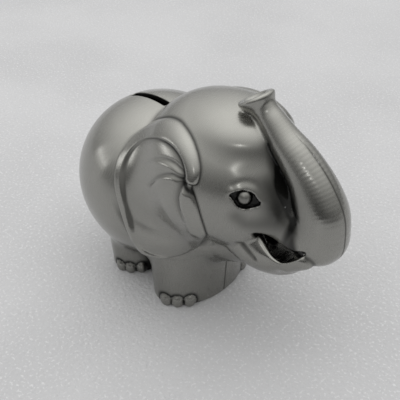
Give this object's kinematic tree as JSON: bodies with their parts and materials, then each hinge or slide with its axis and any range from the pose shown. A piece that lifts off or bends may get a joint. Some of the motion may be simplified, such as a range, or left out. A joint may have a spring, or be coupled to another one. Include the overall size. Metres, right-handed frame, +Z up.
{
  "type": "figural animal coin bank",
  "caption": "Hollow cast elephant coin bank with a raised trunk, large soldered ears, a coin slot along the back and a rubber stopper under the belly.",
  "frame": {"origin": "on the ground, below the middle of the whole bank", "axes": "+X towards the trunk, +Y to the animal's left, +Z up"},
  "size_m": [0.1755, 0.094, 0.1424],
  "materials": {
    "pewter": "antiqued, brushed pewter finish on cast zinc alloy",
    "stopper_rubber": "matte soft rubber"
  },
  "bodies": {
    "bank": {"shell_left": "pewter", "shell_right": "pewter", "ear_left": "pewter", "ear_right": "pewter", "tail": "pewter"},
    "stopper": {"stopper": "stopper_rubber"}
  },
  "joints": [
    {"name": "stopper_pull", "type": "slide", "parent": "bank", "child": "stopper", "axis": [0, 0, -1], "range_m": [0, 0.03]}
  ]
}
